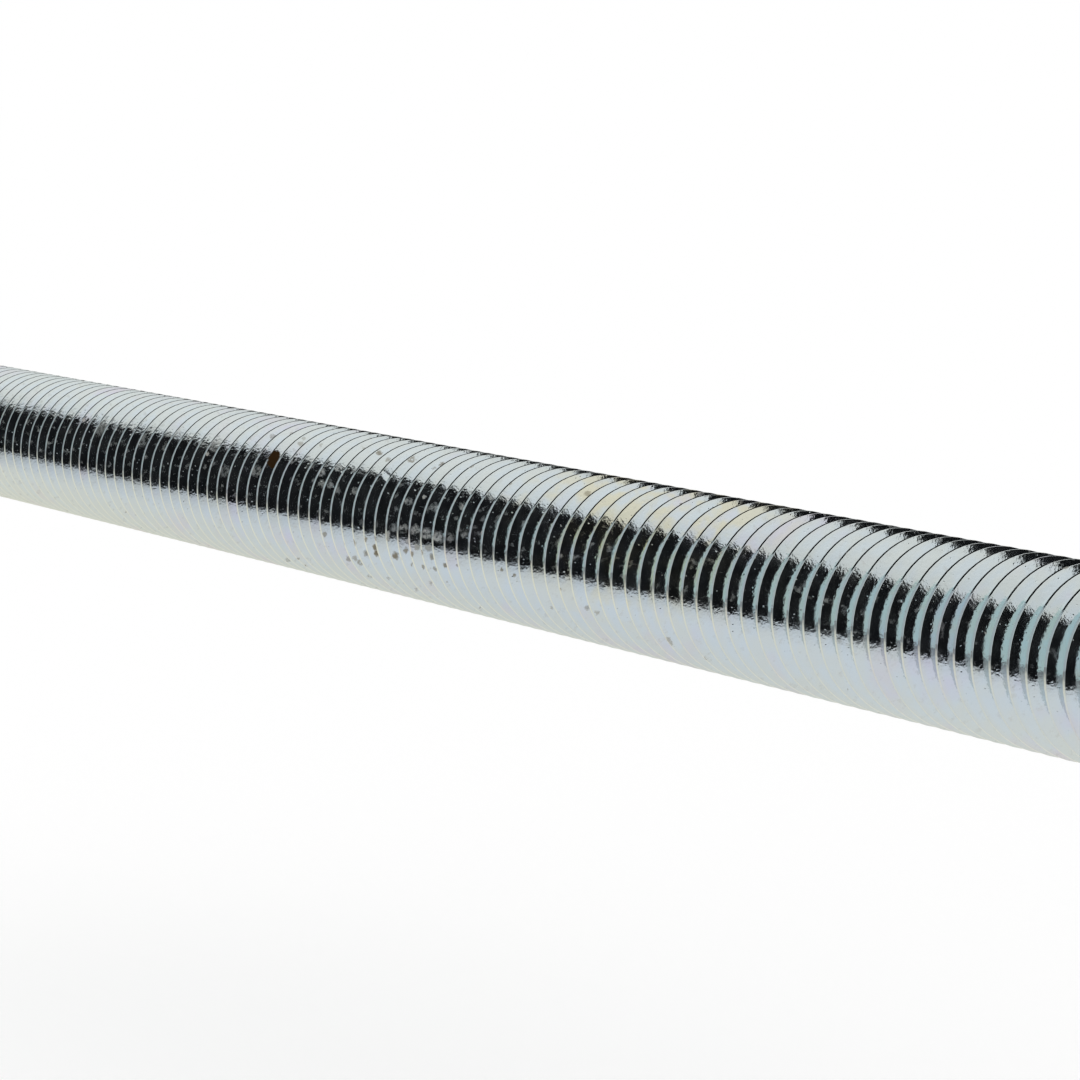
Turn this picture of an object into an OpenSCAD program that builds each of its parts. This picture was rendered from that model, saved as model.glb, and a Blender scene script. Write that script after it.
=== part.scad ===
// Fully threaded rod: a coarse right-hand metric thread rolled along the whole length,
// with a 45 degree chamfer at each end. The rod lies along X and its centre is the origin.

/* [Rod] */
// Length over both end faces
rod_l = 150; // [60:5:190]
// Major diameter, over the crests of the thread
major_d = 10; // [6:1:20]
// Length of the 45 degree chamfer at each end
chamfer_l = 1.1; // [1:0.1:2]

/* [Thread] */
// Pitch, from one crest to the next along the rod
pitch = 1.5; // [1:0.25:2.5]
// Angle between the two flanks of a groove
thread_angle = 60; // [55:5:65]

/* [Hidden] */

// The sharp triangle behind the thread form. An eighth of its height is cut off at the crest
// and a sixth is filled at the root, so 17/24 of the height is left as the thread's depth.
triangle_h = pitch / 2 / tan(thread_angle / 2);
thread_depth = 17 / 24 * triangle_h;
crest_flat = pitch / 8;
flank_run = thread_depth * tan(thread_angle / 2);

// Radii, and the half length where both end faces lie
crest_r = major_d / 2;
root_r = crest_r - thread_depth;
end_r = crest_r - chamfer_l;
half_l = rod_l / 2;

// The thread's skin is a net of triangles. Its sides per turn are as many as this budget
// allows, in fours, so that the rod measures its full diameter across Y and across Z.
triangle_budget = 12900;
stations = 4; // corners of the thread form in one pitch
fewest_sides = 8;
turns = rod_l / pitch;
sides = max(fewest_sides, 4 * floor(triangle_budget / (2 * stations * turns) / 4));

// Rings of the net, with one turn to spare past each end
rings = stations * (ceil(turns) + 2);
// A corner nearer than this to an end face is moved onto the face
snap = pitch / 50;

// The thread form in one pitch, as [distance along the rod, radius]: up one flank,
// over the crest, down the other flank, and along the root to the next turn
thread_form = [
    [0, root_r],
    [flank_run, crest_r],
    [flank_run + crest_flat, crest_r],
    [2 * flank_run + crest_flat, root_r]
];

// Where the net's corner on ring j and side i lies along the rod: one pitch further for
// every four rings, and a share of a pitch further for every side, which makes the helix
function along(i, j) =
    -half_l - pitch + pitch * (floor(j / stations) + i / sides) + thread_form[j % stations][0];

// The radius of ring j at x, where the chamfer cuts the thread down towards each end
function radius(x, j) = min(thread_form[j % stations][1], end_r + half_l - abs(x));

function on_circle(x, r, i) = [x, r * cos(360 * i / sides), r * sin(360 * i / sides)];

// Numbers of the points: the left end face, then the right one, then the rings. The last
// side of a ring meets the first side of the ring one pitch on, and what would lie past
// an end face is that face's own corner.
function point_no(i, j) =
    i == sides ? point_no(0, j + stations)
    : along(i, j) < -half_l + snap ? i
    : along(i, j) > half_l - snap ? sides + i
    : (2 + j) * sides + i;

function has_area(t) = t[0] != t[1] && t[1] != t[2] && t[2] != t[0];

module threaded_rod() {
    end_points = [for (x = [-half_l, half_l], i = [0 : sides - 1]) on_circle(x, end_r, i)];
    ring_points = [
        for (j = [0 : rings - 1], i = [0 : sides - 1])
            let (x = along(i, j))
            on_circle(x, radius(x, j), i)
    ];
    thread_skin = [
        for (i = [0 : sides - 1], j = [0 : rings - 2])
            let (
                a = point_no(i, j),
                b = point_no(i + 1, j),
                c = point_no(i + 1, j + 1),
                d = point_no(i, j + 1)
            )
            for (triangle = [[c, b, a], [d, c, a]])
                if (has_area(triangle)) triangle
    ];
    left_face = [for (i = [0 : sides - 1]) i];
    right_face = [for (i = [0 : sides - 1]) 2 * sides - 1 - i];
    color("lightsteelblue")
        polyhedron(
            points = concat(end_points, ring_points),
            faces = concat(thread_skin, [left_face, right_face]),
            convexity = 10
        );
}

threaded_rod();
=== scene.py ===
# %% [markdown]
# # A length of threaded rod
#
# Threaded rod is round steel bar with a screw thread along all of its length. It is sold by
# the metre, sawn to length, and used with nuts to hang pipes, clamp timber or join frames.
# The thread isn't cut: two hardened dies press it into the bar while the bar turns between
# them, and the finished rod is then plated with zinc.
#
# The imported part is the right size, but its thread has only 16 flat sides to a turn, which
# a mirror-bright metal would show at once. So this lesson winds a much finer skin in the
# same place, gives it the plating, the stains and a knock, and lights it like a small piece
# of polished metal in a studio.

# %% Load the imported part
import math

import bpy
import numpy as np
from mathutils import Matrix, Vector


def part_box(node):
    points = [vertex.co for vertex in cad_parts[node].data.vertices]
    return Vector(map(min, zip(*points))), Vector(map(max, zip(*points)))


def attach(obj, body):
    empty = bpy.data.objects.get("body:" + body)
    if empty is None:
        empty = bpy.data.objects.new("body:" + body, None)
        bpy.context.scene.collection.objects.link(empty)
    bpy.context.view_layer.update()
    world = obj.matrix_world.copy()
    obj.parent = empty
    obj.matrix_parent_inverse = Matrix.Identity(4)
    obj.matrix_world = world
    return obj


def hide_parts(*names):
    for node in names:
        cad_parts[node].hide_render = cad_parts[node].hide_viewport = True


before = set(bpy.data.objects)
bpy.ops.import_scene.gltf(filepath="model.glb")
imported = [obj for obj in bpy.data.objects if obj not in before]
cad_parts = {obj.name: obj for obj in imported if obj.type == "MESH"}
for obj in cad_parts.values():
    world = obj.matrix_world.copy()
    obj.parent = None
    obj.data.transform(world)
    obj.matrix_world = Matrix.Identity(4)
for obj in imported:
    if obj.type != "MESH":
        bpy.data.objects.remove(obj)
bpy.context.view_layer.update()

MM = 0.001  # Blender works in metres, and a fastener is thought of in millimetres
low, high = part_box("threaded_rod")
rod_length = (high.x - low.x) / MM
crest_radius = (high.z - low.z) / 2 / MM
half_length = rod_length / 2
print(f"rod: {rod_length:.1f} mm long, {2 * crest_radius:.1f} mm over its crests")

# %% [markdown]
# ## The thread form
#
# A metric thread is a row of 60 degree ridges. Every size has a standard pitch, the step
# from one ridge to the next: 1.5 mm on a 10 mm rod. The ridge is cut off flat at the top,
# an eighth of a pitch wide, and the groove ends in a small round, where a sharp corner
# would start a crack.
#
# The dies also leave a small round at both edges of the flat crest. It is only a few
# hundredths of a millimetre, and it is the thing that glints: a flat facet shows one spot
# of the room, while a rounded edge shows a slice of all of it. So the form gets an arc
# there too.
#
# The form is a list of points along one pitch, from the edge of one crest to the edge of
# the next. Each has its distance from the middle of the first crest, its radius, and the
# direction in which the surface faces there, which is known exactly on a flat or an arc.

# %% Draw the form of one pitch
pitch = 1.5
flank_angle = math.radians(30)  # how far each flank leans from square to the rod
crest_half = pitch / 16
edge_round = 0.03
root_round = pitch / (4 * math.sqrt(3))  # a sixth of the sharp ridge's height
edge_setback = edge_round * math.tan((math.pi / 2 - flank_angle) / 2)
vee_depth = (pitch / 2 - crest_half) / math.tan(flank_angle)
root_centre = crest_radius - vee_depth + root_round / math.sin(flank_angle)


def arc(x, r, radius, sides, hollow=1):
    """Points (along the rod, radius, facing along, facing out) of an arc about (x, r)."""
    lean = np.radians(sides)
    return np.column_stack([
        x + hollow * radius * np.sin(lean), r + hollow * radius * np.cos(lean),
        np.sin(lean), np.cos(lean)])


edge_leans = np.array([0.0, 20.0, 40.0, 60.0])  # degrees; a flank faces 60 from outwards
root_leans = np.linspace(60, -60, 7)
thread_form = np.vstack([
    arc(crest_half - edge_setback, crest_radius - edge_round, edge_round, edge_leans),
    arc(pitch / 2, root_centre, root_round, root_leans, hollow=-1),
    arc(pitch - crest_half + edge_setback, crest_radius - edge_round, edge_round,
        -edge_leans[::-1])])
stations = len(thread_form)
thread_depth = crest_radius - thread_form[:, 1].min()
print(f"form: {stations} points a pitch, thread {thread_depth:.3f} mm deep")

# %% [markdown]
# ## Wind the form round the rod
#
# A screw thread is the form pulled round a helix. Blender's Screw modifier can do this, but
# it leaves ragged ends that then need boolean cuts, and a boolean on a long thread is slow
# and often leaves holes. A net of rings that is computed in one go stays closed.
#
# Picture a plain tube of rings, then shear it: each point moves along the rod by the share
# of a pitch that its angle is of a full turn. After a full turn a ring has moved by exactly
# one pitch, so its last point meets the ring one form further on. Angles go from +Y towards
# +Z while the thread moves towards +X, which is what makes it right-handed.

# %% Place the rings
sides = 64
form_start = 0.625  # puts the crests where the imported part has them
forms = math.ceil(rod_length / pitch) + 3
ring = np.arange(forms * stations)[:, None]
side = np.arange(sides)[None, :]
form = thread_form[ring % stations]
every_side = 0 * side  # added to a column of rings, it repeats the column for every side
along = (-half_length - 2 * pitch + form_start
         + pitch * (ring // stations + side / sides) + form[..., 0])
radius = form[..., 1] + every_side
turn = 2 * np.pi * (side + 0 * ring) / sides
facing_along = form[..., 2] + every_side
facing_out = form[..., 3] + every_side
print(f"net: {len(ring)} rings of {sides} points")

# %% [markdown]
# ## Chamfer both ends
#
# Each end is turned to a 45 degree chamfer, so that a nut finds the thread without crossing
# it. On the net that is one line: near an end no point may stand further out than the cone
# of the chamfer. Where the cone wins, the surface faces the way the cone does.

# %% Cut the net back to the chamfer
chamfer = 1.1
end_radius = crest_radius - chamfer
cone = end_radius + half_length - np.abs(along)
on_cone = radius > cone
radius = np.where(on_cone, cone, radius)
diagonal = math.sqrt(0.5)
facing_along = np.where(on_cone, np.sign(along) * diagonal, facing_along)
facing_out = np.where(on_cone, diagonal, facing_out)
print(f"end faces: {2 * end_radius:.1f} mm across")

# %% [markdown]
# ## A knock on a crest
#
# Rods are carried in bundles, and on this one a crest has been struck by a neighbour. The
# metal there is pushed down by a tenth of a millimetre, over about a millimetre. That is a
# true change of shape, so it is made in the mesh and not in the material: the knock presses
# the points near it towards the axis, most in its middle. The list takes more knocks.

# %% Press the knock in
# Each knock: distance along the rod, turn in degrees, reach and depth in millimetres.
knocks = [
    (-1.3, 135.0, 0.60, 0.10),
]
dented = np.zeros(radius.shape, bool)
for knock_along, knock_turn, reach, depth in knocks:
    away = np.remainder(turn - math.radians(knock_turn) + np.pi, 2 * np.pi) - np.pi
    distance = np.hypot(along - knock_along, crest_radius * away) / reach
    close = distance < 1
    radius = np.where(close, radius - depth * (1 - distance**2) ** 2, radius)
    dented |= close
print(f"knocks: {len(knocks)}, which move {dented.sum()} points")

# %% [markdown]
# ## Unroll the skin
#
# When a finish is baked to an image, each face needs a place on a flat map. A thread cut
# into patches by machine gives thousands of slivers. Unrolling it like a label off a bottle
# gives one smooth sheet: across it goes the distance travelled over ridges and grooves,
# and up it goes the turn. The label takes the lower four fifths of the map, and the two end
# faces lie as discs in the strip that is left over.

# %% Work out the map
label_height = 0.8
steps = np.hypot(*np.diff(thread_form[:, :2], axis=0).T)
travel = np.concatenate([[0], np.cumsum(steps)])
over_ridge = travel[-1]
map_side = np.arange(sides + 1)[None, :]
over = travel[ring % stations] + over_ridge * (ring // stations + map_side / sides)
map_place = np.stack([over / over.max(), label_height * map_side / sides + 0 * over], -1)
print(f"map: {over_ridge:.2f} mm over each ridge, {over_ridge / pitch:.2f} times the pitch")

# %% [markdown]
# ## Sew the skin
#
# The rings are joined side by side. The last side of a ring goes on to the first side of
# the ring one form further on. Rings start before one end of the rod and stop after the
# other, and every point that would lie past an end face is taken to be that face's own rim,
# so quads that straddle the face shrink to triangles and those outside it vanish. Two flat
# caps then close the ends, and the skin is watertight without any boolean.

# %% Number the points
snap = 0.004  # a point nearer than this to an end face is moved onto the face
first_ring_point = 2 * sides
number = first_ring_point + np.arange(radius.size).reshape(radius.shape)
number = np.where(along < -half_length + snap, side, number)
number = np.where(along > half_length - snap, sides + side, number)
next_turn = np.full(len(ring), sides)
next_turn[:-stations] = number[stations:, 0]
number = np.column_stack([number, next_turn])

rim_turn = 2 * np.pi * np.arange(sides) / sides
rim_y, rim_z = end_radius * np.cos(rim_turn), end_radius * np.sin(rim_turn)
points = np.vstack([
    np.column_stack([np.full(sides, -half_length), rim_y, rim_z]),
    np.column_stack([np.full(sides, half_length), rim_y, rim_z]),
    np.column_stack([a.ravel() for a in (
        along, radius * np.cos(turn), radius * np.sin(turn))])])
print(f"points: {len(points)}, with those that lie past the ends")

# %% [markdown]
# ## From numbers to faces
#
# Every square of the grid is now four numbers, and its place on the map is four more pairs.
# A corner with the same number as the one before it has shrunk away, so it is left out, and
# a square with fewer than three corners left is no face at all. Points that no face uses
# are dropped, so that nothing loose stays in the mesh.

# %% Make the faces


def quads(grid):
    """The four corners of every square in a grid of rings and sides."""
    return np.stack([grid[:-1, :-1], grid[:-1, 1:], grid[1:, 1:], grid[1:, :-1]], 2)


skin, skin_places = [], []
for quad, where in zip(quads(number).reshape(-1, 4).tolist(),
                       quads(map_place).reshape(-1, 4, 2).tolist()):
    kept = [k for k in range(4) if quad[k] != quad[k - 1]]
    if len(kept) > 2:
        skin.append([quad[k] for k in kept])
        skin_places += [where[k] for k in kept]
caps = [list(range(sides - 1, -1, -1)), list(range(sides, 2 * sides))]
# A unit of the map is many times longer across than up, so a round face is an oval on it.
oval = np.column_stack([0.02 * np.cos(rim_turn), 0.09 * np.sin(rim_turn)])
left_face_middle, right_face_middle = (0.1, 0.9), (0.2, 0.9)
cap_places = np.vstack([oval[::-1] + left_face_middle, oval + right_face_middle])

used = np.unique(np.concatenate([np.ravel(f) for f in skin + caps]))
renumber = np.zeros(len(points), int)
renumber[used] = np.arange(len(used))
faces = [renumber[f].tolist() for f in skin + caps]
mesh = bpy.data.meshes.new("rod_skin")
mesh.from_pydata((points[used] * MM).tolist(), [], faces)
unrolled = mesh.uv_layers.new(name="OFBake")  # the exporter keeps a map of this name
unrolled.uv.foreach_set("vector", np.vstack([skin_places, cap_places]).ravel())
triangles = sum(len(f) - 2 for f in faces)
print(f"skin: {len(faces)} faces, {triangles} triangles")

# %% [markdown]
# ## Say which way the surface faces
#
# A render shades a smooth mesh by a normal at each corner and blends between them. Left to
# itself, Blender averages the faces round a point, and beside a small round that tips the
# normals of the flat flank by several degrees. In paint nobody would see it. In mirror
# metal each reflection would slide far to one side. The form knows the true directions, so
# they are set on the mesh. Leaning them back a little along the helix is the last step: a
# thread's flank isn't quite a cone, because it climbs a pitch every turn.
#
# At the rims, on the caps and in the knock there is a real edge or no exact direction, and
# those corners keep their own face's normal.

# %% Set the normals
sharpest_bend = math.radians(25)  # where form and face differ by more, there is an edge
back = -facing_along * pitch / (2 * np.pi * radius)
exact = np.zeros((len(points), 3))
exact[first_ring_point:] = np.column_stack([a.ravel() for a in (
    facing_along,
    facing_out * np.cos(turn) - back * np.sin(turn),
    facing_out * np.sin(turn) + back * np.cos(turn))])
exact[first_ring_point:][dented.ravel()] = 0
exact = exact[used]
exact /= np.maximum(np.linalg.norm(exact, axis=1), 1e-9)[:, None]

corner_point = np.empty(len(mesh.loops), int)
mesh.loops.foreach_get("vertex_index", corner_point)
flat = np.empty(len(mesh.polygons) * 3)
mesh.polygons.foreach_get("normal", flat)
corner_total = np.empty(len(mesh.polygons), int)
mesh.polygons.foreach_get("loop_total", corner_total)
corner_face = np.repeat(np.arange(len(corner_total)), corner_total)
flat = flat.reshape(-1, 3)[corner_face]
smooth = exact[corner_point]
keeps_exact = (smooth * flat).sum(1) > math.cos(sharpest_bend)
mesh.polygons.foreach_set("use_smooth", np.ones(len(mesh.polygons), bool))
mesh.normals_split_custom_set(np.where(keeps_exact[:, None], smooth, flat).tolist())
print(f"normals: {100 * keeps_exact.mean():.1f} % of corners are exact")

# %% [markdown]
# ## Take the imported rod's place
#
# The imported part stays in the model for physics, and the finer skin is what is seen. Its
# points are already where they belong, so the object itself stays at the origin.

# %% Put the rod in the scene
rod = bpy.data.objects.new("rod_thread", mesh)
bpy.context.scene.collection.objects.link(rod)
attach(rod, "root")
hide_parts("threaded_rod")
print("rod_thread stands in for the packed threaded_rod")

# %% [markdown]
# ## The plating: zinc with a blue chromate
#
# The steel is plated with about 5 micrometres of zinc, and then dipped in chromate, which
# seals the zinc and gives it the cold blue-white cast of new hardware. To the eye it is
# metal all over: it has no colour of its own under the shine, only a tinted shine. So it is
# a Principled shader with metallic at 1, the IOR left alone and a low roughness, and the
# blue-white is its base colour.
#
# Every pattern below is drawn in millimetres of the rod, so its scale can be checked
# against a ruler: a noise of scale 4 has about four bumps to the millimetre.
#
# A node's inputs are given by name or by number. A Map Range turns the range from 1 to 2
# into the one from 3 to 4, and a Mix goes from 2 to 3, or from colour 6 to colour 7.

# %% Helpers for colours and nodes


def linear(hex_colour):
    """An sRGB colour such as #CDD6DB as the linear numbers that a shader needs."""
    srgb = [int(hex_colour[k:k + 2], 16) / 255 for k in (1, 3, 5)]
    return [c / 12.92 if c <= 0.04045 else ((c + 0.055) / 1.055) ** 2.4 for c in srgb] + [1]


def add(tree, kind, inputs=(), out=0, **settings):
    """Adds a node and gives back one of its outputs.

    Each of inputs, by name or number, is a value or the output that it is linked to.
    """
    made = tree.nodes.new("ShaderNode" + kind)
    for name, value in settings.items():
        setattr(made, name, value)
    for key, value in dict(inputs).items():
        if isinstance(value, bpy.types.NodeSocket):
            tree.links.new(value, made.inputs[key])
        else:
            made.inputs[key].default_value = value
    return made.outputs[out]


def start_metal(name):
    """A new metal: its node tree, its shader, and where the surface is in millimetres."""
    made = bpy.data.materials.new(name)
    made.use_nodes = True
    nodes = made.node_tree
    shader = nodes.nodes["Principled BSDF"]
    shader.inputs["Metallic"].default_value = 1.0
    on_rod = add(nodes, "TexCoord", out="Object")
    place = add(nodes, "VectorMath", {0: on_rod, "Scale": 1 / MM}, operation="SCALE")
    return made, nodes, shader, place


plating, tree, shine, in_mm = start_metal("zinc_plated_steel")
print("plating: started")

# %% [markdown]
# ## Tints in the chromate
#
# The chromate is a film thinner than a wavelength of light, and where it is a little
# thicker the blue-white turns to cream or to a faint lilac, in clouds a millimetre or two
# across. They run round the rod more than along it, because the bath drained that way
# along the grooves. The cream is strongest over one stretch of the upper side, and the
# outermost quarter millimetre of every crest carries a trace of it everywhere.

# %% Helpers for clouds and for places on the skin


def clouds(size, start, full, seed, stretch=(1, 1, 1)):
    """Random patches about size mm across, fading in between two levels of the noise.

    They are drawn in the metal that is being made, the one that tree and in_mm belong to.
    """
    spot = add(tree, "VectorMath", {0: in_mm, 1: stretch}, operation="MULTIPLY")
    noise = add(tree, "TexNoise", {"Vector": spot, "W": seed, "Scale": 1 / size, "Detail": 3},
                noise_dimensions="4D")
    return add(tree, "MapRange", {"Value": noise, 1: start, 2: full},
               interpolation_type="SMOOTHSTEP")


def on_skin(distance_along, turn_degrees):
    """The point of the thread's surface at a distance along the rod and a turn from +Y."""
    past_crest = (distance_along + half_length - form_start - pitch * turn_degrees / 360) % pitch
    out = np.interp(past_crest, thread_form[:, 0], thread_form[:, 1])
    t = math.radians(turn_degrees)
    return distance_along, out * math.cos(t), out * math.sin(t)


print("plating: helpers ready")

# %% Cloud the colour
blue_white, lilac, cream = linear("#DDE6EA"), linear("#DEDDEA"), linear("#E6E3CE")
shortened = (0.5, 1, 1)  # the stained stretch is twice as long as it is wide
lengthwise = add(tree, "VectorMath", {0: in_mm, 1: shortened}, operation="MULTIPLY")
stain_centre = tuple(np.array(on_skin(28, 116)) * shortened)
from_stain = add(tree, "VectorMath", {0: lengthwise, 1: stain_centre}, out="Value",
                 operation="DISTANCE")
stained = add(tree, "MapRange", {"Value": from_stain, 1: 8.5, 2: 3.5, 3: 0.25, 4: 1.0},
              interpolation_type="SMOOTHSTEP")
cream_clouds = clouds(0.9, 0.42, 0.60, 3.0, stretch=(1, 0.5, 0.5))
in_the_stain = add(tree, "Math", {0: cream_clouds, 1: stained}, operation="MULTIPLY")

across = add(tree, "VectorMath", {0: in_mm, 1: (0, 1, 1)}, operation="MULTIPLY")
from_axis = add(tree, "VectorMath", {0: across}, out="Value", operation="LENGTH")
by_crest = add(tree, "MapRange", {"Value": from_axis, 1: 4.75, 2: 4.95, 4: 0.22},
               interpolation_type="SMOOTHSTEP")
creamy = add(tree, "Math", {0: in_the_stain, 1: by_crest}, operation="MAXIMUM")

lilac_clouds = clouds(3.0, 0.50, 0.75, 7.0)
colour = add(tree, "Mix", {0: lilac_clouds, 6: blue_white, 7: lilac}, out=2, data_type="RGBA")
colour = add(tree, "Mix", {0: creamy, 6: colour, 7: cream}, out=2, data_type="RGBA")
print("plating: blue-white, lilac and cream")

# %% [markdown]
# ## White bloom and rust
#
# Zinc gives itself up to protect the steel. Damp turns it to a pale, chalky bloom, and where
# the plating is thinnest, beside the crests, iron rust comes through in small specks. The
# faint ones are olive. Neither bloom nor rust is a metal: both lose the mirror, so their
# roughness goes up and their metallic goes down. Against a dark reflection the bloom looks
# grey, and against a white one it nearly vanishes. Only one spot has grown a scab, a hard
# dark brown crust of oxide. It keeps a dull gleam, so it stays a metal and is only rough.
#
# The specks that count are placed one by one, because they sit together in one patch and
# chance would spread them evenly. A noise shifts the place that is looked up by a fraction
# of a millimetre, which makes every outline ragged.

# %% A helper for marks
raggedness = 0.3
full_share = 0.45  # a mark is at its full strength within this share of its reach
wobble = add(tree, "TexNoise", {"Vector": in_mm, "Scale": 4.5, "Detail": 3}, out="Color")
wobble = add(tree, "VectorMath", {0: wobble, 1: (0.5, 0.5, 0.5)}, operation="SUBTRACT")
ragged = add(tree, "VectorMath", {0: wobble, 1: 3 * (raggedness,), 2: in_mm},
             operation="MULTIPLY_ADD")


def marks(places, narrow=1.0):
    """The strongest mark at each point; each place is (along, turn, reach in mm, strength)."""
    shape = (narrow, 1, 1)
    looked_up = add(tree, "VectorMath", {0: ragged, 1: shape}, operation="MULTIPLY")
    found = 0.0
    for distance_along, turn_degrees, reach, strength in places:
        centre = tuple(np.array(on_skin(distance_along, turn_degrees)) * shape)
        away = add(tree, "VectorMath", {0: looked_up, 1: centre}, out="Value",
                   operation="DISTANCE")
        mark = add(tree, "MapRange", {"Value": away, 1: reach, 2: full_share * reach,
                                      4: strength}, interpolation_type="SMOOTHSTEP")
        found = add(tree, "Math", {0: found, 1: mark}, operation="MAXIMUM")
    return found


print("plating: a mark can be placed")

# %% Where the rust is
rust_places = [
    (-14.8, 127, 0.30, 0.40), (-7.4, 193, 0.23, 0.60), (-5.7, 213, 0.27, 0.50),
    (-4.7, 196, 0.28, 0.55), (-4.2, 228, 0.21, 0.35), (-4.3, 209, 0.28, 0.45),
    (-4.2, 214, 0.30, 0.55), (-3.1, 193, 0.32, 0.70), (-1.5, 189, 0.25, 0.70),
    (-2.7, 203, 0.30, 0.60), (-1.2, 224, 0.17, 0.35), (-1.2, 196, 0.30, 0.80),
    (-1.2, 201, 0.30, 0.85), (0.4, 228, 0.19, 0.35), (1.5, 181, 0.28, 0.45),
    (2.8, 182, 0.23, 0.40), (3.3, 185, 0.27, 0.40), (4.7, 187, 0.28, 0.45),
    (6.2, 186, 0.30, 0.50), (-0.1, 186, 0.25, 0.70), (1.5, 184, 0.25, 0.55),
    (1.7, 198, 0.34, 0.80), (1.8, 230, 0.19, 0.35), (3.2, 192, 0.25, 0.70),
    (3.3, 204, 0.14, 0.45), (4.8, 204, 0.19, 0.60), (5.9, 189, 0.25, 0.60),
    (4.8, 218, 0.19, 0.35), (6.3, 193, 0.28, 0.60), (6.3, 203, 0.23, 0.55),
    (4.5, 192, 0.25, 0.70), (7.8, 198, 0.21, 0.70), (9.3, 196, 0.13, 0.55),
    (9.3, 235, 0.13, 0.35), (15.2, 190, 0.15, 0.70), (16.7, 192, 0.15, 0.70),
    (19.8, 214, 0.17, 0.35), (22.5, 220, 0.19, 0.35), (22.5, 193, 0.17, 0.45),
    (24.3, 206, 0.23, 0.40), (25.7, 206, 0.21, 0.40), (33.1, 215, 0.36, 0.45),
    (36.1, 224, 0.21, 0.40), (-16.2, 233, 0.25, 0.35), (-45.7, 216, 0.48, 0.15),
    (-19.6, 119, 0.32, 0.40), (-18.1, 110, 0.25, 0.35), (-15.1, 122, 0.27, 0.35),
    (-15.2, 117, 0.20, 0.30), (-12.2, 121, 0.22, 0.30), (-7.6, 112, 0.22, 0.30),
    (-4.7, 117, 0.30, 0.70), (-3.1, 121, 0.26, 0.45), (-0.2, 118, 0.36, 0.60),
    (2.9, 113, 0.28, 0.65), (2.9, 121, 0.20, 0.45), (7.1, 115, 0.32, 0.60),
    (4.5, 148, 0.20, 0.60), (20.9, 116, 0.30, 0.45),
]
rust = add(tree, "Math", {0: marks(rust_places, narrow=2.0), 1: clouds(0.22, 0.25, 0.45, 15.0)},
           operation="MULTIPLY")
scab_places = [(-16.6, 140, 0.60, 1.0), (-16.5, 146, 0.46, 1.0)]
scab = add(tree, "Math", {0: marks(scab_places), 1: clouds(0.20, 0.10, 0.52, 17.0)},
           operation="MULTIPLY")
scab = add(tree, "MapRange", {"Value": scab, 1: 0.25, 2: 0.55})
print(f"plating: {len(rust_places)} rust marks and a scab")

# %% Where the bloom is
bloom_places = [
    (-0.2, 176, 0.33, 0.25), (1.7, 176, 0.37, 0.32), (3.1, 175, 0.37, 0.43),
    (4.6, 174, 0.41, 0.50), (6.1, 175, 0.44, 0.54), (7.6, 176, 0.44, 0.54),
    (9.1, 174, 0.33, 0.36), (3.0, 154, 0.33, 0.36), (6.1, 154, 0.36, 0.43),
    (9.1, 149, 0.27, 0.47), (10.6, 170, 0.27, 0.32), (-2.7, 160, 0.33, 0.29),
    (-5.7, 166, 0.37, 0.29), (-18.0, 155, 0.48, 0.32), (-22.5, 160, 0.52, 0.25),
    (-25.6, 138, 0.59, 0.32), (-31.6, 136, 0.67, 0.32), (-36.2, 150, 0.67, 0.22),
    (-43.6, 146, 0.74, 0.22), (16.7, 152, 0.27, 0.29), (21.2, 162, 0.27, 0.22),
    (-9.1, 146, 0.33, 0.45), (-8.9, 154, 0.33, 0.40), (-7.5, 154, 0.30, 0.36),
    (-7.6, 139, 0.33, 0.40), (-4.4, 154, 0.30, 0.32),
]
bloom = add(tree, "Math", {0: marks(bloom_places), 1: clouds(0.22, 0.30, 0.62, 13.0)},
            operation="MULTIPLY")
dusting_strength = 0.28
dusting = add(tree, "Math", {0: clouds(0.42, 0.57, 0.76, 11.0), 1: dusting_strength},
              operation="MULTIPLY")
bloom = add(tree, "Math", {0: bloom, 1: dusting}, operation="MAXIMUM")
print(f"plating: {len(bloom_places)} bloom marks and a dusting")

# %% [markdown]
# ## Specks between the marks
#
# Everywhere else there is a thin scatter of small specks. A Voronoi texture divides the rod
# into cells about a millimetre across, each with a random colour of its own. One channel of
# it decides how large that cell's speck is, and three cells in four get none. With every
# mark known, the colours go on in the order in which they cover each other.

# %% Scatter the specks
cell_colour = add(tree, "TexVoronoi", {"Vector": ragged, "Scale": 0.9}, out="Color")
from_middle = cell_colour.node.outputs["Distance"]
chance = add(tree, "SeparateXYZ", {0: cell_colour})
largest_speck, speck_strength = 0.14, 0.45
speck_reach = add(tree, "MapRange", {"Value": chance, 1: 0.75, 2: 1.0, 4: largest_speck})
speck = add(tree, "Math", {0: from_middle, 1: speck_reach}, operation="LESS_THAN")
speck = add(tree, "Math", {0: speck, 1: speck_strength}, operation="MULTIPLY")
rust = add(tree, "Math", {0: rust, 1: speck}, operation="MAXIMUM")

bloom_grey, olive, dark_brown = linear("#C4C2BA"), linear("#6C5A30"), linear("#3E2C1A")
for covered, its_colour in ((bloom, bloom_grey), (rust, olive), (scab, dark_brown)):
    colour = add(tree, "Mix", {0: covered, 6: colour, 7: its_colour}, out=2, data_type="RGBA")
tree.links.new(colour, shine.inputs["Base Color"])
print("plating: specks")

# %% [markdown]
# ## How dull, and how much of a metal
#
# Fresh chromated zinc is nearly a mirror, with a roughness of 0.05 to 0.1 that drifts in
# clouds of a millimetre. Bloom is chalk and rust is earth, so there the roughness rises and
# the metallic falls, by as much as each mark covers the metal.

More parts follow.
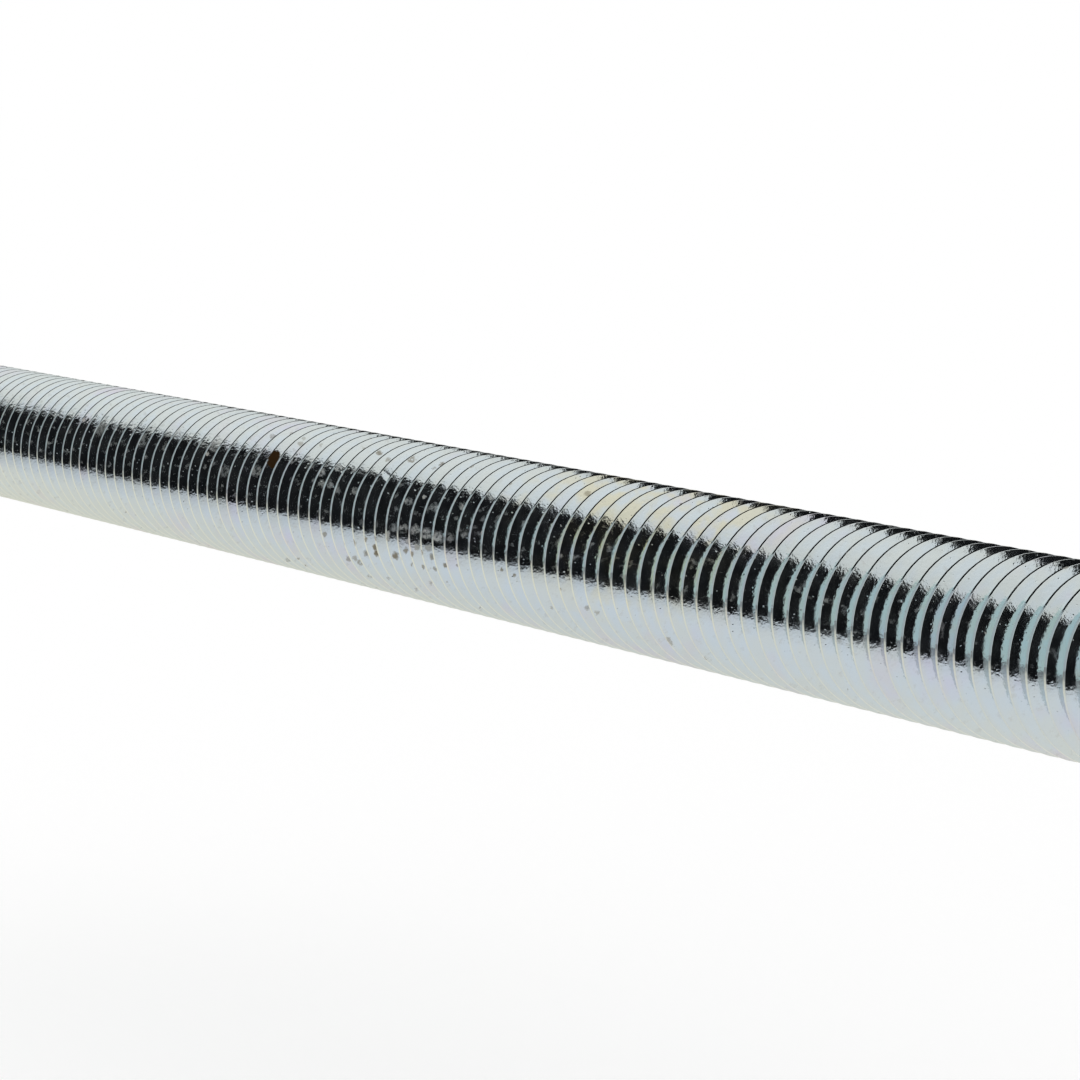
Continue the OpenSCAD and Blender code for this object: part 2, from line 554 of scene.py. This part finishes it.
# %% Roughness and metallic
rough = add(tree, "MapRange", {"Value": clouds(0.8, 0.35, 0.65, 5.0), 3: 0.05, 4: 0.10})
rough = add(tree, "Mix", {0: bloom, 2: rough, 3: 0.45})
rough = add(tree, "Mix", {0: rust, 2: rough, 3: 0.7})
inside_scab = add(tree, "MapRange", {"Value": scab, 1: 0.6, 2: 1.0})
rough = add(tree, "Mix", {0: inside_scab, 2: rough, 3: 0.6})
tree.links.new(rough, shine.inputs["Roughness"])
metal_by_rust = add(tree, "MapRange", {"Value": rust, 3: 1.0, 4: 0.1})
metal_by_bloom = add(tree, "MapRange", {"Value": bloom, 3: 1.0, 4: 0.3})
metallic = add(tree, "Math", {0: metal_by_rust, 1: metal_by_bloom}, operation="MULTIPLY")
tree.links.new(metallic, shine.inputs["Metallic"])
print("plating: roughness and metallic")

# %% [markdown]
# ## Fine dents
#
# Rolled steel isn't flat at a tenth of a millimetre: the dies leave a fine grain, the bar
# swells and sinks slowly, and grit has pressed small pits into it. In a mirror these show
# only where a reflection has an edge, which they tear into a ragged line, and as bright
# pinpricks in a dark reflection. Each height is a real one in millimetres, so the Bump node
# gets strength 1 and a distance of one millimetre.

# %% Grain, swell and pits
grain_height, swell_height, pit_depth = 0.0065, 0.012, 0.008
grain = add(tree, "TexNoise", {"Vector": in_mm, "Scale": 6.0, "Detail": 2.0})
swell = add(tree, "TexNoise", {"Vector": in_mm, "Scale": 0.9, "Detail": 1.0})
pit_colour = add(tree, "TexVoronoi", {"Vector": in_mm, "Scale": 3.2}, out="Color")
from_pit = pit_colour.node.outputs["Distance"]
pit_chance = add(tree, "SeparateXYZ", {0: pit_colour}, out=1)
pit_reach = add(tree, "MapRange", {"Value": pit_chance, 1: 0.3, 2: 1.0, 3: 0.001, 4: 0.26})
pit = add(tree, "MapRange", {"Value": from_pit, 2: pit_reach}, interpolation_type="SMOOTHSTEP")
height = 0.0
for layer, its_height in ((grain, grain_height), (swell, swell_height), (pit, pit_depth)):
    height = add(tree, "Math", {0: layer, 1: its_height, 2: height}, operation="MULTIPLY_ADD")
bump = add(tree, "Bump", {"Height": height, "Strength": 1.0, "Distance": MM})
tree.links.new(bump, shine.inputs["Normal"])
mesh.materials.append(plating)
print(f"plating: grain {1000 * grain_height:.1f} micrometres high")

# %% [markdown]
# ## The end faces: turned, then plated
#
# Each end is faced on a lathe before it is plated. The tool leaves a fine spiral that looks
# like rings, and a small pip where the middle never passed the tool. The rings throw light
# sideways, so a turned face looks silkier than the thread. The real feed is about 0.1 mm a
# turn; the rings are drawn 0.22 mm apart, which is as coarse as they need to be to show.
# Their radius comes from the distance to the axis, shifted a little by a noise, so that
# they aren't perfect.

# %% Turn the end faces
ring_step, ring_height, grain_height, pip_height = 0.22, 0.004, 0.006, 0.05
wander = 0.12  # millimetres by which a ring may stray from round
turned, tree, shine, in_mm = start_metal("zinc_plated_turned_face")
face_wobble = add(tree, "TexNoise", {"Vector": in_mm, "Scale": 0.6, "Detail": 2})
across = add(tree, "VectorMath", {0: in_mm, 1: (0, 1, 1)}, operation="MULTIPLY")
from_axis = add(tree, "VectorMath", {0: across}, out="Value", operation="LENGTH")
unround = add(tree, "Math", {0: face_wobble, 1: wander, 2: from_axis},
              operation="MULTIPLY_ADD")
ripple = add(tree, "Math", {0: unround, 1: 2 * math.pi / ring_step}, operation="MULTIPLY")
ripple = add(tree, "Math", {0: ripple}, operation="SINE")
grain = add(tree, "TexNoise", {"Vector": in_mm, "Scale": 9.0, "Detail": 3.0})
pip = add(tree, "MapRange", {"Value": from_axis, 1: 0.30, 2: 0.15},
          interpolation_type="SMOOTHSTEP")
height = 0.0
for layer, its_height in ((ripple, ring_height), (grain, grain_height), (pip, pip_height)):
    height = add(tree, "Math", {0: layer, 1: its_height, 2: height}, operation="MULTIPLY_ADD")
bump = add(tree, "Bump", {"Height": height, "Strength": 1.0, "Distance": MM})
tree.links.new(bump, shine.inputs["Normal"])
print(f"end faces: rings {ring_step} mm apart")

# %% [markdown]
# ## The end faces: stains
#
# A sawn and turned end is plated thinly, so it stains sooner than the thread: cream clouds
# all over, some olive rust along the rim and a little bloom. Its roughness is 0.20 to 0.34,
# between a mirror and satin. The two caps are the mesh's last faces, so they are the ones
# that get this material.

# %% Stain the end faces
by_rim = add(tree, "MapRange", {"Value": from_axis, 1: 3.4, 2: 3.9},
             interpolation_type="SMOOTHSTEP")
stained_rim = add(tree, "Math", {0: by_rim, 1: clouds(0.5, 0.45, 0.70, 23.0)},
                  operation="MULTIPLY")
face_bloom_strength = 0.6
face_bloom = add(tree, "Math", {0: clouds(0.35, 0.60, 0.75, 25.0), 1: face_bloom_strength},
                 operation="MULTIPLY")
colour = blue_white
for covered, its_colour in ((clouds(1.2, 0.45, 0.70, 21.0), cream), (stained_rim, olive),
                            (face_bloom, bloom_grey)):
    colour = add(tree, "Mix", {0: covered, 6: colour, 7: its_colour}, out=2, data_type="RGBA")
tree.links.new(colour, shine.inputs["Base Color"])
silky = add(tree, "MapRange", {"Value": clouds(0.8, 0.35, 0.65, 27.0), 3: 0.20, 4: 0.34})
tree.links.new(silky, shine.inputs["Roughness"])
mesh.materials.append(turned)
mesh.polygons.foreach_set("material_index", [0] * len(skin) + [1] * len(caps))
print(f"end faces: {len(caps)} faces of {len(faces)} are turned ones")

# %% [markdown]
# ## A white room
#
# Polished metal is only ever a picture of the room it is in. The room here is a plain white
# one, at strength 1, so that a colour renders about as it is written. The floor lies 40 mm
# under the rod, and it is the metal that needs it: every face that looks down mirrors it.
#
# To the eye and to the rod's shadow the floor is plain white paper. In the mirror of the
# metal it carries painted light and shade through Is Glossy Ray: a warm painted light
# behind and to the left of the rod, a cool painted shade in front of it, and a grey
# painted shade further out, standing in for a sheet that curves away into a dimmer room.

# %% Helpers for paper and felt


def from_rod(azimuth, elevation, distance):
    """A point in metres seen from the rod's middle; azimuth 0 is +X, 90 is -Y."""
    a, e = math.radians(azimuth), math.radians(elevation)
    return distance * np.array([
        math.cos(a) * math.cos(e), -math.sin(a) * math.cos(e), math.sin(e)])


def sheet(name, grid, material):
    """A smooth sheet through a grid of points, as part of the studio."""
    rows, columns = grid.shape[:2]
    index = np.arange(rows * columns).reshape(rows, columns)
    made = bpy.data.meshes.new(name)
    made.from_pydata(grid.reshape(-1, 3).tolist(), [], quads(index).reshape(-1, 4).tolist())
    made.polygons.foreach_set("use_smooth", np.ones(len(made.polygons), bool))
    made.materials.append(material)
    shown = bpy.data.objects.new(name, made)
    bpy.context.scene.collection.objects.link(shown)
    return shown


def matt(name, colour):
    """Paper or felt: a colour with no shine at all."""
    made = bpy.data.materials.new(name)
    made.use_nodes = True
    shader = made.node_tree.nodes["Principled BSDF"]
    shader.inputs["Base Color"].default_value = linear(colour)
    shader.inputs["Roughness"].default_value = 1.0
    shader.inputs["Specular IOR Level"].default_value = 0.0
    return made


print("studio: paper and felt are ready")

# %% White room
world = bpy.data.worlds.new("white_room")
bpy.context.scene.world = world
world.use_nodes = True
background = world.node_tree.nodes["Background"]
background.inputs["Color"].default_value = linear("#FFFFFF")
background.inputs["Strength"].default_value = 1.0
print("studio: the room is white")

# %% Lay the floor
floor_drop = 40 * MM
near_edge, far_edge, side_edge = 0.345, -3.0, 3.0  # metres from the rod's middle
viewer_side = 30  # the azimuth towards which the floor has its near edge
ahead, sideways = from_rod(viewer_side, 0, 1), from_rod(viewer_side + 90, 0, 1)
floor_grid = np.array([
    [ahead * d + sideways * w - (0, 0, floor_drop) for w in (-side_edge, side_edge)]
    for d in (near_edge, far_edge)])
paper = matt("white_paper", "#FFFFFF")
sheet("floor", floor_grid, paper)
print(f"floor: {1000 * floor_drop:.0f} mm under the axis")

# %% Paint light and shade into the floor's reflection
# The floor's painted light and shade: warm painted light behind and to the left, cool painted
# shade in front, grey painted shade far out.
all_cool, all_warm = 0.060, -0.060  # metres to the right of the rod's middle
shade_from, shade_full = -60, 40  # millimetres in front of the rod
dim_from, dim_full = 50, 300  # likewise
tree = paper.node_tree
where = add(tree, "TexCoord", out="Object")
out_front = add(tree, "VectorMath", {0: where, 1: (0, -1 / MM, 0)}, out="Value",
                operation="DOT_PRODUCT")
to_the_right = add(tree, "SeparateXYZ", {0: where})
leftwards = add(tree, "MapRange", {"Value": to_the_right, 1: all_cool, 2: all_warm})
in_front = add(tree, "MapRange", {"Value": out_front, 1: shade_from, 2: shade_full},
               interpolation_type="SMOOTHSTEP")
far_out = add(tree, "MapRange", {"Value": out_front, 1: dim_from, 2: dim_full})
in_a_mirror = add(tree, "LightPath", out="Is Glossy Ray")
# Colours of the painted light and shade, which only the metal's mirror sees.
white, warm_painted_light = linear("#FFFFFF"), linear("#F0EDDF")
cool_painted_shade, far_painted_shade = linear("#DDE1E6"), linear("#888A8D")
floor_light_and_shade = add(tree, "Mix", {0: leftwards, 6: cool_painted_shade, 7: warm_painted_light}, out=2, data_type="RGBA")
floor_light_and_shade = add(tree, "Mix", {0: in_front, 6: warm_painted_light, 7: floor_light_and_shade}, out=2, data_type="RGBA")
floor_light_and_shade = add(tree, "Mix", {0: far_out, 6: floor_light_and_shade, 7: far_painted_shade}, out=2, data_type="RGBA")
# The eye and the shadow see plain white; the mirror sees the painted light and shade.
floor_light_and_shade = add(tree, "Mix", {0: in_a_mirror, 6: white, 7: floor_light_and_shade}, out=2, data_type="RGBA")
tree.links.new(floor_light_and_shade, tree.nodes["Principled BSDF"].inputs["Base Color"])
print("floor: white to the eye, tinted in a mirror")

# %% [markdown]
# ## What the metal mirrors
#
# In a studio a shiny object is shaped with cards rather than with lamps. Each card here
# stands about two metres out and curves round the rod, and only the metal sees it: it casts
# no shadow and gives no light to anything matt.
#
# The flanks in view face mostly towards +X, and each turn of them is a strip of curved
# mirror that looks at the front of the room. A dark card low in front makes the dark band
# along the rod's middle, and the ragged line above it is that card's top edge. The crests
# are narrow flats that look elsewhere, at the back of the room. There a dark card draws them
# as thin dark lines over the white part of the thread, and a grey one below it as light
# lines over the dark band. A grey-green card at the side is what the flanks pass to and fro
# between them.
#
# Two cards are shaded. The grey one is dimmer at its far end, so the light lines fade
# towards the far end of the rod. The pale one that stands for the sky is brighter upwards.
# These two stand further out than the rest, so where cards overlap they are the ones behind.

# %% Helpers for panels and cards


def lit(name, colour):
    """A lit panel that shows about the colour as it is written."""
    made = bpy.data.materials.new(name)
    made.use_nodes = True
    nodes = made.node_tree
    glow = add(nodes, "Emission", {"Color": linear(colour), "Strength": 1.0})
    nodes.links.new(glow, nodes.nodes["Material Output"].inputs[0])
    return made


def shaded(name, axis, start, end):
    """A lit panel whose colour goes from start to end; each is (metres along axis, colour)."""
    made = lit(name, start[1])
    nodes = made.node_tree
    reached = add(nodes, "SeparateXYZ", {0: add(nodes, "TexCoord", out="Object")}, out=axis)
    share = add(nodes, "MapRange", {"Value": reached, 1: start[0], 2: end[0]})
    shade = add(nodes, "Mix", {0: share, 6: linear(start[1]), 7: linear(end[1])}, out=2,
                data_type="RGBA")
    nodes.links.new(shade, nodes.nodes["Emission"].inputs["Color"])
    return made


card_rows = 9  # points up a card; across it there is one to a degree


def card(name, material, azimuths, bottom, top, distance=2.0):
    """A card seen by the metal only. bottom and top list (azimuth, elevation) corners."""
    steps = np.linspace(*azimuths, round(azimuths[1] - azimuths[0]) + 1)
    lowest = np.interp(steps, *zip(*bottom))
    highest = np.interp(steps, *zip(*top))
    grid = np.array([
        [from_rod(a, lo + (hi - lo) * share, distance)
         for a, lo, hi in zip(steps, lowest, highest)]
        for share in np.linspace(0, 1, card_rows)])
    shown = sheet(name, grid, material)
    shown.visible_camera = shown.visible_diffuse = shown.visible_shadow = False
    print(f"{name}: azimuth {azimuths[0]} to {azimuths[1]}")


print("studio: panels and cards are ready")

# %% Stand the cards round the rod
black_felt = matt("black_felt", "#101113")
low_edge = [(0, -12)]
card("front_card", black_felt, (3, 46), low_edge,
     [(3, 12), (6, 26), (8, 33.3), (10, 37.2), (12, 38.8), (15, 38.5), (18, 37.5), (46, 33)])
card("left_card", black_felt, (-110, -29), low_edge,
     [(-110, 43), (-60, 43), (-47, 41), (-42, 39), (-36, 37.5), (-29, 34)])
card("crest_card", black_felt, (145, 228),
     [(145, 48), (158, 40), (167, 27), (171, 14), (190, 8), (228, 8)],
     [(145, 58), (190, 62), (228, 60)])
card("back_card", black_felt, (188, 228), low_edge, [(0, 9)])
card("low_card", lit("dim_panel", "#9A9EA0"), (46, 86), low_edge, [(0, 5)])
card("side_card", lit("green_grey_panel", "#C8DADB"), (86, 112), low_edge, [(0, 70)])
card("far_side_card", shaded("grey_panel", 0, (-2.02, "#858F94"), (-1.92, "#AAB5BB")),
     (112, 171), [(0, -8)], [(112, 70), (130, 52), (145, 48), (158, 40), (171, 30)],
     distance=2.2)
card("sky_card", shaded("sky_panel", 2, (1.50, "#D8DBDC"), (2.00, "#F0F2F2")),
     (-110, 60), [(0, 0)], [(0, 56)], distance=2.6)

# %% [markdown]
# ## The camera
#
# The rod is seen from low down and almost along its length, from its +X end, close enough
# for both ends to lie outside the view. A long lens from a quarter of a metre keeps the
# thread's turns nearly parallel. Depth of field stays off, so the whole rod is sharp.
#
# The camera is placed by its direction from a point that it looks at, near the rod's middle.
# Its azimuth here is counted from -Y towards +X.

# %% Aim the camera
look_azimuth, look_elevation = math.radians(59.5427), math.radians(7.1295)
look_distance = 254.887 * MM
aim_along, aim_above = 11.8717 * MM, 0.3316 * MM
toward = Vector((math.sin(look_azimuth) * math.cos(look_elevation),
                 -math.cos(look_azimuth) * math.cos(look_elevation),
                 math.sin(look_elevation)))
picture_up = Vector((-math.sin(look_azimuth) * math.sin(look_elevation),
                     math.cos(look_azimuth) * math.sin(look_elevation),
                     math.cos(look_elevation)))
camera_data = bpy.data.cameras.new("camera")
camera_data.sensor_width = 36  # millimetres, as the lens is
camera_data.lens = 139.353
camera_data.clip_start = 10 * MM
camera = bpy.data.objects.new("camera", camera_data)
bpy.context.scene.collection.objects.link(camera)
bpy.context.scene.camera = camera
camera.location = Vector((aim_along, 0, 0)) + picture_up * aim_above + toward * look_distance
camera.rotation_euler = (-toward).to_track_quat("-Z", "Y").to_euler()
bpy.context.scene.view_settings.view_transform = "Standard"
print(f"camera: {look_distance / MM:.0f} mm from the rod, {camera_data.lens:.0f} mm lens")

# %% [markdown]
# ## Keep both boxes and finish
# The finer skin has to fill the same space as the imported part, or the looks and the
# physics would disagree. This last cell only brings the scene up to date.

# %% Bring the scene up to date
bpy.context.view_layer.update()
